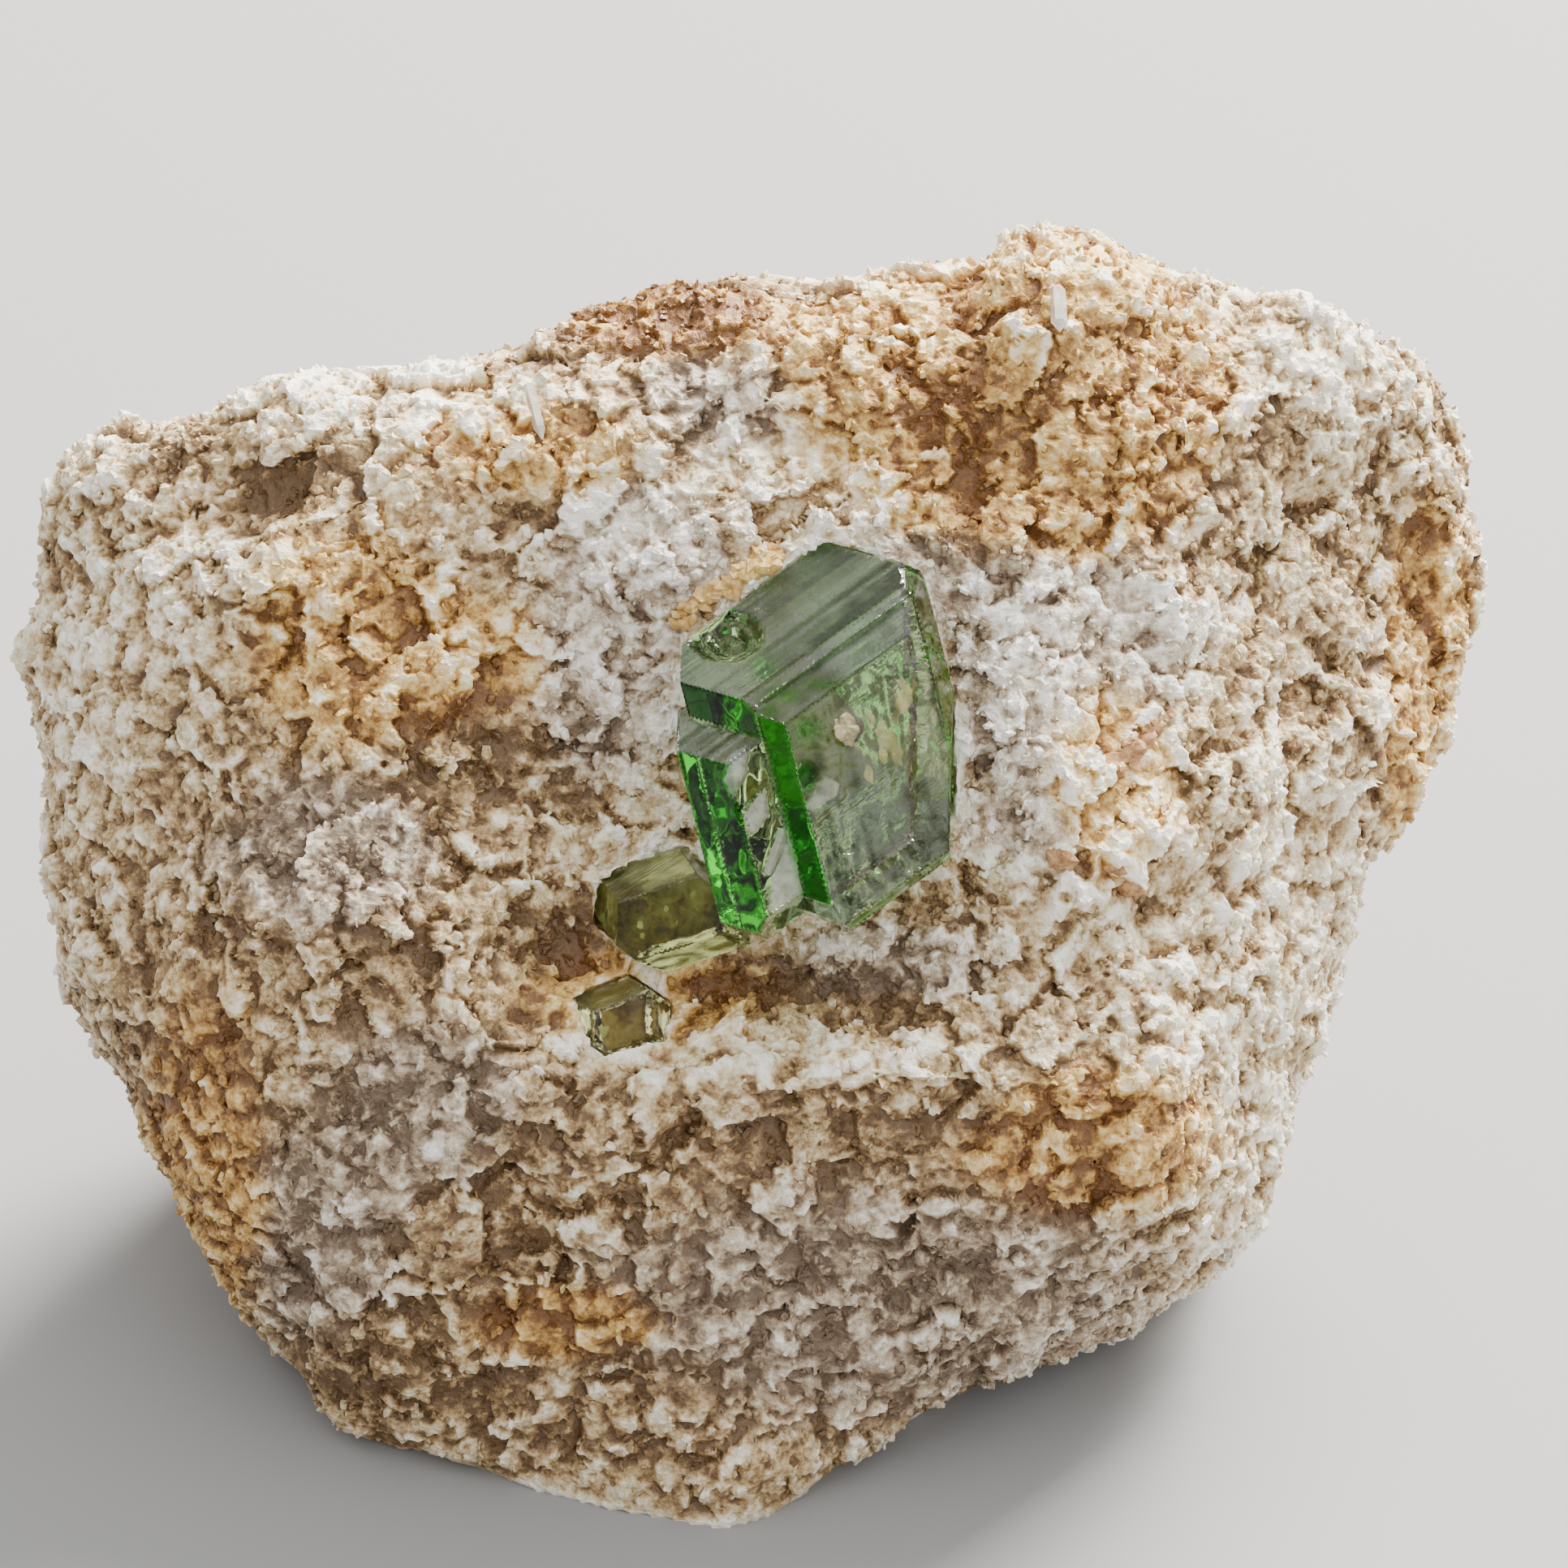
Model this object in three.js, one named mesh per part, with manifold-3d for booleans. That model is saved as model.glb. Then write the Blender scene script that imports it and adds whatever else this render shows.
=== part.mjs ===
// A demantoid garnet: one green dodecahedral crystal and two small olive ones, grown on a loose lump of
// white and tan sugary rock. Millimetres, +Z up, the lump resting on its flat underside.
import * as THREE from "three";
import { ConvexGeometry } from "three/addons/geometries/ConvexGeometry.js";
import { ImprovedNoise } from "three/addons/math/ImprovedNoise.js";
import { mergeVertices } from "three/addons/utils/BufferGeometryUtils.js";
import Module from "manifold-3d";

const wasm = await Module();
wasm.setup();

// The face that carries the crystals leans back by this angle, and its middle is this far above the base.
// Places on the face are given as across (+ right), up the face, and out (towards whoever looks at it).
const LEAN = THREE.MathUtils.degToRad(38);
const FACE_HEIGHT = 15;

// Air between a crystal and the socket that holds its root.
const SOCKET_GAP = 0.3;

// The lump's outline, seen square on to the face: across, up, and how far out the rim lies.
const OUTLINE = [
  [-23.1, 7.2, -1], [-22.2, 9.9, -1], [-21.9, 12, -0.5], [-20.8, 13.5, 0], [-19.4, 14.2, 0.5],
  [-17.7, 14.4, 1], [-14.1, 15.7, 1.5], [-9.5, 16.2, 2], [-5.8, 17.4, 2], [-0.7, 18.8, 2],
  [2.2, 18.4, 2], [4.8, 19.1, 2.5], [6.7, 18.9, 2.5], [7.8, 20.1, 3], [10, 20.3, 3],
  [12.6, 19.3, 2.5], [15.1, 18.2, 1], [17.9, 18.2, 0], [20.4, 16.4, -1], [21.8, 14.5, -2],
  [22.9, 9.9, -3], [22.7, 8.2, -3], [21.6, 3.9, -3], [18.9, -0.6, -3], [17.9, -3.9, -3],
  [16.1, -9.3, -3], [15.2, -11.7, -3.5], [11.9, -14.1, -3], [7.3, -15.6, -2], [3, -18.1, -0.5],
  [-1.2, -20.4, 1.2], [-4.6, -19.5, 0.5], [-12.6, -17.3, -2], [-16.4, -12.8, -3], [-19, -8, -3],
  [-21.8, -2.7, -2.5], [-22.6, 4.7, -1.5],
];

// The face is broken along planes: a level front, and three slopes that fall away past a line on it.
const FRONT_OUT = 7;
const LOWER_WALL = { start: -7.3, fall: 0.46 };
const RIGHT_FLANK = { start: 11.5, fall: 0.75 };
const LEFT_FLANK = { start: -15, fall: 0.45 };
const BREAK_SOFTNESS = 0.5;

// The back wall stands upright this far behind the middle, and bows forward towards the sides.
const BACK_WALL = 11;
const BACK_BOW = 4;
const HALF_WIDTH = 23;

// How full the front and the back are before they round over to the rim.
const FRONT_FULLNESS = 7;
const BACK_FULLNESS = 5;

// Lumps (+) and hollows (-) on the face: place, reach across, reach up, height.
const FACE_FORMS = [
  { across: -1, up: 1, wide: 9, tall: 6.5, height: -1.6 },
  { across: -5.9, up: 3, wide: 2.4, tall: 2.2, height: -1.4 },
  { across: 2, up: -3.3, wide: 4, tall: 1.3, height: -1.4 },
  { across: 0, up: -6, wide: 10, tall: 1.4, height: 0.8 },
  { across: -12.4, up: -1.4, wide: 2.8, tall: 2.6, height: 1 },
  { across: -15.6, up: 11.2, wide: 2.2, tall: 1.3, height: -1.3 },
  { across: -17.6, up: 12.9, wide: 0.9, tall: 0.9, height: -0.9 },
  { across: -13.9, up: 12.2, wide: 1.1, tall: 0.9, height: -1 },
  { across: 9.4, up: 17.4, wide: 2.6, tall: 2.4, height: 1.4 },
  { across: 6.8, up: 17.8, wide: 0.9, tall: 1.4, height: -1 },
  { across: 17.5, up: 15.6, wide: 2.8, tall: 2.4, height: 1.2 },
  { across: 8, up: 3, wide: 3, tall: 4, height: 0.8 },
  { across: -6, up: -1.6, wide: 1.5, tall: 1, height: -0.8 },
  { across: 10.5, up: -7.6, wide: 2.4, tall: 1.6, height: 0.8 },
];

// Broken-rock unevenness: size of a lump, and how far it stands out. The rim keeps part of it.
const ROUGHNESS = [{ size: 5.2, height: 0.9 }, { size: 2.3, height: 0.6 }];
const RIM_ROUGHNESS = 0.45;

// How finely the ball that is drawn out into the lump is divided.
const LUMP_DETAIL = 18;

// The slab that cuts the lump flat underneath reaches past it on every side.
const FLOOR_SIZE = 100;

// Distances below this count as none, and corners nearer than the second size are one corner.
const TINY = 1e-6;
const SAME_CORNER = 0.02;

// Each crystal: where its middle lies on the face, how its cube axes are turned, and its flat faces, given
// as Miller indices and distance from the middle. Bodies that grew through each other share one middle.
const MAIN_CRYSTAL = {
  middle: { across: 1.6, up: 4.32, out: 7.6 },
  turn: [133, -2, 64],
  bodies: [
    // The tall front plate, with its roof, window face, bevelled edges and stepped right end.
    [
      [1, 1, 0, 3.37], [1, 0, 1, 3], [0, 1, 1, 3.12], [1, -1, 0, 4.25], [0, -1, 1, 4.94],
      [-1, 0, 1, 4.7], [-1, 1, 0, 2.96], [0, 1, -1, 4.39], [1, 0, -1, 5.88], [2, 1, 1, 3.27],
      [1, 1, 2, 3.28], [3, -4, 1, 3.85], [-1, -1, 0, 3.8], [-1, 0, -1, 3.8], [0, -1, -1, 3.8],
    ],
    // The body behind that plate, whose window face lies a step deeper and whose foot reaches lower.
    [
      [1, 1, 0, 3.2], [1, 0, 1, 2.5], [0, 1, 1, 2.8], [1, -1, 0, 4.4], [0, -1, 1, 5.45],
      [-1, 0, 1, 5.06], [-1, 1, 0, 2.8], [0, 1, -1, 4.2], [1, 0, -1, 5.7], [1, -2, 0, 4.4],
      [-1, -1, 0, 3.6], [-1, 0, -1, 3.6], [0, -1, -1, 3.6],
    ],
    // The lower left crystal, with a grey shelf for its own roof.
    [
      [1, 1, 0, 2.39], [1, 0, 1, 2.61], [0, 1, 1, 4.18], [-1, 1, 0, 3.33], [-1, 0, 1, 6.21],
      [0, -1, 1, 4.1], [1, -1, 0, 2], [1, 0, -1, 3], [0, 1, -1, 3],
      [-1, -1, 0, 3], [-1, 0, -1, 0.4], [0, -1, -1, 3],
    ],
  ],
};
const OLIVE_CRYSTAL = {
  middle: { across: -2.6, up: -0.9, out: 5.7 },
  turn: [137, -33, 70.5],
  bodies: [
    [
      [1, 1, 0, 1.15], [1, 0, 1, 1], [0, 1, 1, 1.75], [1, -1, 0, 2.2], [-1, 1, 0, 2.6],
      [1, 0, -1, 1.6], [-1, 0, 1, 1.7], [0, 1, -1, 1.8], [0, -1, 1, 1.5],
      [-1, -1, 0, 1.6], [-1, 0, -1, 1.6], [0, -1, -1, 2.2],
    ],
  ],
};
const PALE_CRYSTAL = {
  middle: { across: -4.1, up: -4.3, out: 5.4 },
  turn: [128, -20, 62],
  bodies: [
    [
      [1, 1, 0, 1.05], [1, 0, 1, 1], [0, 1, 1, 1.3], [1, -1, 0, 1.3], [-1, 1, 0, 1.2],
      [1, 0, -1, 1.3], [-1, 0, 1, 1.1], [0, 1, -1, 1.1], [0, -1, 1, 1.1],
      [-1, -1, 0, 1.4], [-1, 0, -1, 1.4], [0, -1, -1, 1.4],
    ],
  ],
};

// A closed geometry as a solid.
function toSolid(geometry) {
  const bare = geometry.clone();
  bare.deleteAttribute("normal");
  bare.deleteAttribute("uv");
  const merged = mergeVertices(bare, 10 * TINY);
  return new wasm.Manifold(new wasm.Mesh({
    numProp: 3,
    vertProperties: new Float32Array(merged.attributes.position.array),
    triVerts: new Uint32Array(merged.index.array),
  }));
}

// A solid as geometry, with the slivers that cutting leaves closed up.
function toGeometry(solid) {
  const { vertProperties, triVerts } = solid.getMesh();
  const corners = [];
  const cornerOf = [];
  for (let i = 0; i < vertProperties.length; i += 3) {
    const point = new THREE.Vector3().fromArray(vertProperties, i);
    const near = corners.findIndex((corner) => corner.distanceTo(point) < SAME_CORNER);
    cornerOf.push(near < 0 ? corners.push(point) - 1 : near);
  }
  const triangles = new Map();
  for (let i = 0; i < triVerts.length; i += 3) {
    const triangle = [0, 1, 2].map((step) => cornerOf[triVerts[i + step]]);
    if (new Set(triangle).size < 3) continue;
    const key = triangle.toSorted().join();
    if (!triangles.delete(key)) triangles.set(key, triangle);
  }
  const geometry = new THREE.BufferGeometry().setFromPoints(corners);
  geometry.setIndex([...triangles.values()].flat());
  geometry.computeVertexNormals();
  return geometry;
}

// The point where three planes meet, or null where two of them run alongside each other.
function meetingPoint(a, b, c) {
  const across = new THREE.Vector3().crossVectors(b.normal, c.normal);
  const volume = a.normal.dot(across);
  if (Math.abs(volume) < TINY) return null;
  const point = across.multiplyScalar(-a.constant);
  point.addScaledVector(new THREE.Vector3().crossVectors(c.normal, a.normal), -b.constant);
  point.addScaledVector(new THREE.Vector3().crossVectors(a.normal, b.normal), -c.constant);
  return point.divideScalar(volume);
}

// One crystal body: the space inside all of its faces, each moved out by grow.
function crystalBody(faces, grow) {
  const planes = faces.map(([h, k, l, distance]) => {
    return new THREE.Plane(new THREE.Vector3(h, k, l).normalize(), -(distance + grow));
  });
  const corners = new Map();
  for (let i = 0; i < planes.length; i++) {
    for (let j = i + 1; j < planes.length; j++) {
      for (let k = j + 1; k < planes.length; k++) {
        const corner = meetingPoint(planes[i], planes[j], planes[k]);
        if (!corner || planes.some((plane) => plane.distanceToPoint(corner) > TINY)) continue;
        corners.set(corner.toArray().map((value) => value.toFixed(4)).join(), corner);
      }
    }
  }
  return toSolid(new ConvexGeometry([...corners.values()]));
}

// Bodies that grew through each other are one crystal.
function crystalSolid(crystal, grow = 0) {
  return crystal.bodies.map((faces) => crystalBody(faces, grow)).reduce((all, body) => all.add(body));
}

// How far the rim is from the middle in a direction across the face, and how far out it lies there.
function rimTowards(angle) {
  const across = Math.cos(angle);
  const up = Math.sin(angle);
  for (let i = 0; i < OUTLINE.length; i++) {
    const [x1, z1, out1] = OUTLINE[i];
    const [x2, z2, out2] = OUTLINE[(i + 1) % OUTLINE.length];
    const turnFrom = x1 * up - z1 * across;
    const turnTo = x2 * up - z2 * across;
    if (turnFrom > 0 || turnTo <= 0 || x1 * across + z1 * up < 0) continue;
    const share = turnFrom / (turnFrom - turnTo);
    const radius = (x1 + (x2 - x1) * share) * across + (z1 + (z2 - z1) * share) * up;
    return { radius, out: out1 + (out2 - out1) * share };
  }
  throw new Error("the outline doesn't close round the middle");
}

// The lowest of several heights, with the break between them slightly rounded.
function softLowest(heights) {
  const total = heights.reduce((sum, height) => sum + Math.exp(-height / BREAK_SOFTNESS), 0);
  return -BREAK_SOFTNESS * Math.log(total);
}

// How far out the crystal face stands at a place on it.
function faceOut(across, up) {
  const level = softLowest([
    FRONT_OUT,
    FRONT_OUT - LOWER_WALL.fall * (LOWER_WALL.start - up),
    FRONT_OUT - RIGHT_FLANK.fall * (across - RIGHT_FLANK.start),
    FRONT_OUT - LEFT_FLANK.fall * (LEFT_FLANK.start - across),
  ]);
  return FACE_FORMS.reduce((out, form) => {
    const dx = (across - form.across) / form.wide;
    const dz = (up - form.up) / form.tall;
    return out + form.height * Math.exp(-dx * dx - dz * dz);
  }, level);
}

// How far out (so, how far behind, as a negative number) the upright back wall is.
function backOut(across, up) {
  const wall = BACK_WALL - BACK_BOW * (across / HALF_WIDTH) ** 2;
  return -(wall - up * Math.sin(LEAN)) / Math.cos(LEAN);
}

// The uncut lump: a fine ball whose every point is drawn out to the face, the rim or the back.
function lumpGeometry() {
  const noise = new ImprovedNoise();
  const geometry = new THREE.IcosahedronGeometry(1, LUMP_DETAIL);
  const points = geometry.attributes.position;
  for (let i = 0; i < points.count; i++) {
    const ball = new THREE.Vector3().fromBufferAttribute(points, i);
    const spread = Math.min(1, Math.hypot(ball.x, ball.z));
    const rim = rimTowards(Math.atan2(ball.z, ball.x));
    const across = ball.x * rim.radius;
    const up = ball.z * rim.radius;
    const front = ball.y < 0;
    const goal = front ? faceOut(across, up) : backOut(across, up);
    const fullness = Math.sqrt(1 - spread ** (front ? FRONT_FULLNESS : BACK_FULLNESS));
    const point = new THREE.Vector3(across, -(rim.out + (goal - rim.out) * fullness), up);
    const strength = 1 - (1 - RIM_ROUGHNESS) * spread ** FRONT_FULLNESS;
    for (const { size, height } of ROUGHNESS) {
      const step = noise.noise(point.x / size, point.y / size, point.z / size) * height * strength;
      point.addScaledVector(ball, step);
    }
    points.setXYZ(i, ...point);
  }
  return geometry;
}

function crystalMesh(name, crystal, material) {
  const mesh = new THREE.Mesh(toGeometry(crystalSolid(crystal)), material);
  mesh.name = name;
  mesh.position.set(crystal.middle.across, -crystal.middle.out, crystal.middle.up);
  mesh.rotation.set(...crystal.turn.map(THREE.MathUtils.degToRad));
  return mesh;
}

const demantoidGreen = new THREE.MeshStandardMaterial({ color: 0x2f7a3a, roughness: 0.12, metalness: 0 });
const oliveGreen = new THREE.MeshStandardMaterial({ color: 0x77803f, roughness: 0.16, metalness: 0 });
const paleGreen = new THREE.MeshStandardMaterial({ color: 0xb4b96a, roughness: 0.2, metalness: 0 });
const sugaryRock = new THREE.MeshStandardMaterial({ color: 0xcfbda6, roughness: 0.85, metalness: 0 });

// The crystals stand on the leaning face.
const specimen = new THREE.Group();
const face = new THREE.Group();
face.position.z = FACE_HEIGHT;
face.rotation.x = -LEAN;
specimen.add(face);
const crystals = [
  ["demantoid_crystal", MAIN_CRYSTAL, demantoidGreen],
  ["olive_crystal", OLIVE_CRYSTAL, oliveGreen],
  ["pale_crystal", PALE_CRYSTAL, paleGreen],
];
for (const [name, crystal, material] of crystals) face.add(crystalMesh(name, crystal, material));
specimen.updateMatrixWorld(true);

// The rock: the lump set leaning, cut flat underneath, with a socket for each crystal's root.
function matrixSolid() {
  const floor = new THREE.BoxGeometry(FLOOR_SIZE, FLOOR_SIZE, FLOOR_SIZE);
  floor.translate(0, 0, -FLOOR_SIZE / 2);
  let rock = toSolid(lumpGeometry().applyMatrix4(face.matrixWorld)).subtract(toSolid(floor));
  for (const [name, crystal] of crystals) {
    const place = specimen.getObjectByName(name).matrixWorld;
    const socket = toGeometry(crystalSolid(crystal, SOCKET_GAP)).applyMatrix4(place);
    rock = rock.subtract(toSolid(socket));
  }
  return rock.decompose().reduce((largest, body) => (body.volume() > largest.volume() ? body : largest));
}
const matrix = new THREE.Mesh(toGeometry(matrixSolid()), sugaryRock);
matrix.name = "matrix";
specimen.add(matrix);

// The origin is the middle of the underside of the whole specimen's box.
const box = new THREE.Box3().setFromObject(specimen, true);
specimen.position.set(-(box.min.x + box.max.x) / 2, -(box.min.y + box.max.y) / 2, -box.min.z);

export default specimen;
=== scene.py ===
# %% [markdown]
# A demantoid garnet on its matrix: one green crystal and two small olive ones on a lump of sugary rock.
# The CAD solids set every size and place. Here each of them gets a fine copy that carries the relief, the
# colour and the clear crystal look, while the CAD meshes themselves stay as they are.

import math

import bmesh
import bpy
import numpy as np
from mathutils import Matrix, Vector, noise
from mathutils.bvhtree import BVHTree


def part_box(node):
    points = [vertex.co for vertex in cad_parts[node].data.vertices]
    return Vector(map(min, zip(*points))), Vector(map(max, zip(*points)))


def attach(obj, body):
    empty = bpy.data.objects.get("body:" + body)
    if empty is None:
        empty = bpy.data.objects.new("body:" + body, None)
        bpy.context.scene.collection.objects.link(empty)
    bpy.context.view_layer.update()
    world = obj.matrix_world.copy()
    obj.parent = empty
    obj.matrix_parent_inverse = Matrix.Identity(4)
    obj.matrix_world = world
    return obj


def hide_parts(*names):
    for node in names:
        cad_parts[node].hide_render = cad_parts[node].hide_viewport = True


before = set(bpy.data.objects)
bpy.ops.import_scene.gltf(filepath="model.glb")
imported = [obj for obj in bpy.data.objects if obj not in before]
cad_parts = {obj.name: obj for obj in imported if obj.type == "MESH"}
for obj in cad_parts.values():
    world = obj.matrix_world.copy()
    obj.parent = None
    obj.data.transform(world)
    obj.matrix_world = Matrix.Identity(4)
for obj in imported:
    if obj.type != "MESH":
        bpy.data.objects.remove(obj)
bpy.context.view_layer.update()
MM = 0.001
print("nodes:", sorted(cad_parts))

# %% [markdown]
# The crystal face of the lump leans back, and the photo looks square on to it. Places are given as on that
# face: across, up the face, and out of it, in millimetres. One matrix turns them into the row frame, so a
# stain or a grain can be named by where it is seen, which is easier than by world coordinates.

# %% Places on the face
LEAN = math.radians(38)
FACE_MIDDLE = Vector((-0.055, 0.889, 15)) * MM
FACE_TURN = Matrix.Rotation(-LEAN, 3, "X")


def on_face(across, up, out):
    """A place on the leaning face, as a point in the row frame."""
    return FACE_TURN @ Vector((across, -out, up)) * MM + FACE_MIDDLE


def face_places(points):
    """Points in the row frame as across, up and out on the face, in millimetres."""
    local = (np.asarray(points) - np.array(FACE_MIDDLE)) @ np.array(FACE_TURN) / MM
    return local[:, 0], local[:, 2], -local[:, 1]


LOOK = FACE_TURN @ Vector((0, 1, 0))


def seen(tree, across, up):
    """The first point of a surface on a line of sight, and its normal."""
    place, normal, _, _ = tree.ray_cast(on_face(across, up, 60), LOOK)
    return place, normal


print("a point 10 mm up the face:", [round(v, 4) for v in on_face(0, 10, 0)])

# %% [markdown]
# Node trees and materials are made by a few short helpers, so that each recipe below reads as a list of
# what it does. A finished piece is a plain mesh: the nodes are run once and their result is kept.

# %% Helpers


def fill(tree, node, inputs):
    """Sets a node's inputs to values, or joins them to other nodes' outputs."""
    for key, value in inputs.items():
        if isinstance(value, bpy.types.NodeSocket):
            tree.links.new(value, node.inputs[key])
        else:
            node.inputs[key].default_value = value


def add(tree, kind, inputs=None, **settings):
    """A node with these inputs and settings."""
    node = tree.nodes.new(kind)
    for key, value in settings.items():
        setattr(node, key, value)
    fill(tree, node, inputs or {})
    return node


def calc(tree, operation, *values, clamp=False):
    """One step of arithmetic in a node tree."""
    inputs = dict(enumerate(values))
    return add(tree, "ShaderNodeMath", inputs, operation=operation, use_clamp=clamp).outputs[0]


def vector_calc(tree, operation, *values):
    """One step of vector arithmetic in a node tree; a dot product gives a plain number."""
    node = add(tree, "ShaderNodeVectorMath", dict(enumerate(values)), operation=operation)
    return node.outputs["Value" if operation in ("DOT_PRODUCT", "LENGTH") else "Vector"]


def scaled(tree, vector, factor):
    """A vector made longer or shorter."""
    inputs = {0: vector, "Scale": factor}
    return add(tree, "ShaderNodeVectorMath", inputs, operation="SCALE").outputs["Vector"]


def geometry_tree(name, inputs):
    """An empty geometry tree with these named inputs, its input node and the function that closes it."""
    tree = bpy.data.node_groups.new(name, "GeometryNodeTree")
    tree.interface.new_socket("Geometry", in_out="INPUT", socket_type="NodeSocketGeometry")
    for label, kind in inputs.items():
        tree.interface.new_socket(label, in_out="INPUT", socket_type="NodeSocket" + kind)
    tree.interface.new_socket("Geometry", in_out="OUTPUT", socket_type="NodeSocketGeometry")
    given = tree.nodes.new("NodeGroupInput").outputs

    def close(geometry):
        tree.links.new(geometry, tree.nodes.new("NodeGroupOutput").inputs[0])

    return tree, given, close


def run_modifier(obj, modifier):
    """Makes the modifier's result the object's plain mesh and takes the modifier off."""
    graph = bpy.context.evaluated_depsgraph_get()
    mesh = bpy.data.meshes.new_from_object(
        obj.evaluated_get(graph), preserve_all_data_layers=True, depsgraph=graph
    )
    obj.modifiers.remove(modifier)
    obj.data = mesh


def run_nodes(obj, tree, settings):
    """Runs a geometry tree once on an object, with its named inputs set."""
    modifier = obj.modifiers.new(tree.name, "NODES")
    modifier.node_group = tree
    for item in tree.interface.items_tree:
        if item.in_out == "INPUT" and item.name in settings:
            modifier[item.identifier] = settings[item.name]
    run_modifier(obj, modifier)


def new_object(name, data):
    """A mesh, lamp or camera as an object in the scene."""
    obj = bpy.data.objects.new(name, data)
    bpy.context.scene.collection.objects.link(obj)
    return obj


def object_of(name, work):
    """A bmesh as a mesh object in the scene."""
    mesh = bpy.data.meshes.new(name)
    work.to_mesh(mesh)
    return new_object(name, mesh)


def copy_of(node):
    """A CAD node's mesh, copied and with its corners merged, as a bmesh."""
    work = bmesh.new()
    work.from_mesh(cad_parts[node].data)
    bmesh.ops.remove_doubles(work, verts=work.verts, dist=1e-3 * MM)
    return work


def points_of(mesh):
    """A mesh's points as an array."""
    points = np.empty(len(mesh.vertices) * 3, np.float32)
    mesh.vertices.foreach_get("co", points)
    return points.reshape(-1, 3).astype(float)


def move_points(mesh, points):
    """Puts a mesh's points at these places."""
    mesh.vertices.foreach_set("co", points.astype(np.float32).ravel())


def store(mesh, name, values):
    """One number for each point of a mesh, for its material to read."""
    mesh.attributes.new(name, "FLOAT", "POINT").data.foreach_set("value", values.astype(np.float32))


def broken_ball(work, place, normal, size, seed, detail=2, jag=0.8):
    """A grain: a ball whose corners noise pushes in or out, stretched to its size on a face."""
    turn = normal.to_track_quat("Z", "Y").to_matrix()
    made = bmesh.ops.create_icosphere(work, subdivisions=detail, radius=1)["verts"]
    for corner in made:
        bulge = 1 + jag * noise.noise(corner.co * 1.2 + Vector((seed * 1.7, 0, 0)))
        bulge += 0.4 * jag * noise.noise(corner.co * 3 + Vector((0, seed, 0)))
        corner.co = turn @ Vector(a * b * bulge * MM for a, b in zip(corner.co, size)) + place


def facing(mesh):
    """How far each point of a mesh faces the viewer of the crystal face: 1 is square on, -1 is away."""
    return np.array([-v.normal.dot(LOOK) for v in mesh.vertices])


def triangle_count(obj):
    """How many triangles a piece has."""
    return sum(len(p.vertices) - 2 for p in obj.data.polygons)


def tree_of(obj):
    """A search tree over a piece's faces."""
    return BVHTree.FromPolygons(points_of(obj.data).tolist(), [p.vertices[:] for p in obj.data.polygons])


print("helpers ready")

# %% [markdown]
# The rock broke off as one lump, so it is one piece. The CAD solid has its outline and larger forms. A voxel
# remesh turns a copy of it into even small faces, and the walls of the sockets are drawn in to the crystals,
# because in nature the rock grew round them without a gap.

# %% Rock: an even, fine skin
VOXEL = 0.17 * MM
SOCKET_GAP = 0.3 * MM
SNUG_GAP = 0.04 * MM
SNUG_REACH = 1.1 * MM
FAR = 3 * MM
THICKEST = 20 * MM
CRYSTALS = ("demantoid_crystal", "olive_crystal", "pale_crystal")

# The solid's upper right rim is a thin blade. These lumps thicken it from behind: across, up, radius.
RIM_LUMPS = [
    (20.9, 9.2, 1.6), (20.6, 10.6, 1.8), (20.2, 11.9, 1.9), (19.7, 13.1, 2.0), (19.1, 14.2, 2.0),
    (18.4, 15.2, 1.9), (17.6, 16.2, 1.6), (16.5, 17.0, 1.1), (21.0, 7.8, 1.4),
]

rock_copy = copy_of("matrix")
matrix_tree = BVHTree.FromBMesh(rock_copy)
for i, (x, z, radius) in enumerate(RIM_LUMPS):
    place, _ = seen(matrix_tree, x, z)
    broken_ball(rock_copy, place + LOOK * radius * MM, LOOK, (radius, radius, radius), i, 3, 0.25)
rock = object_of("matrix_rock", rock_copy)
remesh = rock.modifiers.new("even skin", "REMESH")
remesh.mode = "VOXEL"
remesh.voxel_size = VOXEL
run_modifier(rock, remesh)


def keep_largest(obj):
    """Takes away the crumbs that a remesh or a collapse leaves beside the main body."""
    work = bmesh.new()
    work.from_mesh(obj.data)
    left = set(work.verts)
    bodies = []
    while left:
        body = {left.pop()}
        edge = list(body)
        while edge:
            near = {e.other_vert(v) for v in edge for e in v.link_edges} & left
            left -= near
            body |= near
            edge = list(near)
        bodies.append(body)
    bodies.sort(key=len)
    for body in bodies[:-1]:
        bmesh.ops.delete(work, geom=list(body), context="VERTS")
    work.to_mesh(obj.data)
    work.free()
    return len(bodies) - 1


print("crumbs taken away:", keep_largest(rock))

# %% Rock: sockets drawn in to the crystals
crystal_trees = [BVHTree.FromBMesh(copy_of(node)) for node in CRYSTALS]


def nearest_crystal(point):
    """The nearest point on any crystal, and how far away it is."""
    found = [tree.find_nearest(point) for tree in crystal_trees]
    place, _, _, distance = min(found, key=lambda hit: hit[3])
    return place, distance


skin = points_of(rock.data)
crystal_boxes = np.array([[list(c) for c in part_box(node)] for node in CRYSTALS])
near = [np.all((skin > low - FAR) & (skin < high + FAR), axis=1) for low, high in crystal_boxes]
gap = np.full(len(skin), FAR)
for i in np.nonzero(np.any(near, axis=0))[0]:
    place, distance = nearest_crystal(Vector(skin[i]))
    gap[i] = distance
    if distance < SNUG_REACH:
        wanted = np.interp(distance, [SOCKET_GAP, SNUG_REACH], [SNUG_GAP, SNUG_REACH])
        skin[i] = np.array(place) + (skin[i] - np.array(place)) * (wanted / max(distance, 1e-9))
move_points(rock.data, skin)
off_crystals = np.clip((gap - 0.1 * MM) / (0.7 * MM), 0, 1)
off_floor = np.clip(skin[:, 2] / (0.8 * MM), 0, 1)
store(rock.data, "free", off_crystals * off_floor)
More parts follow.
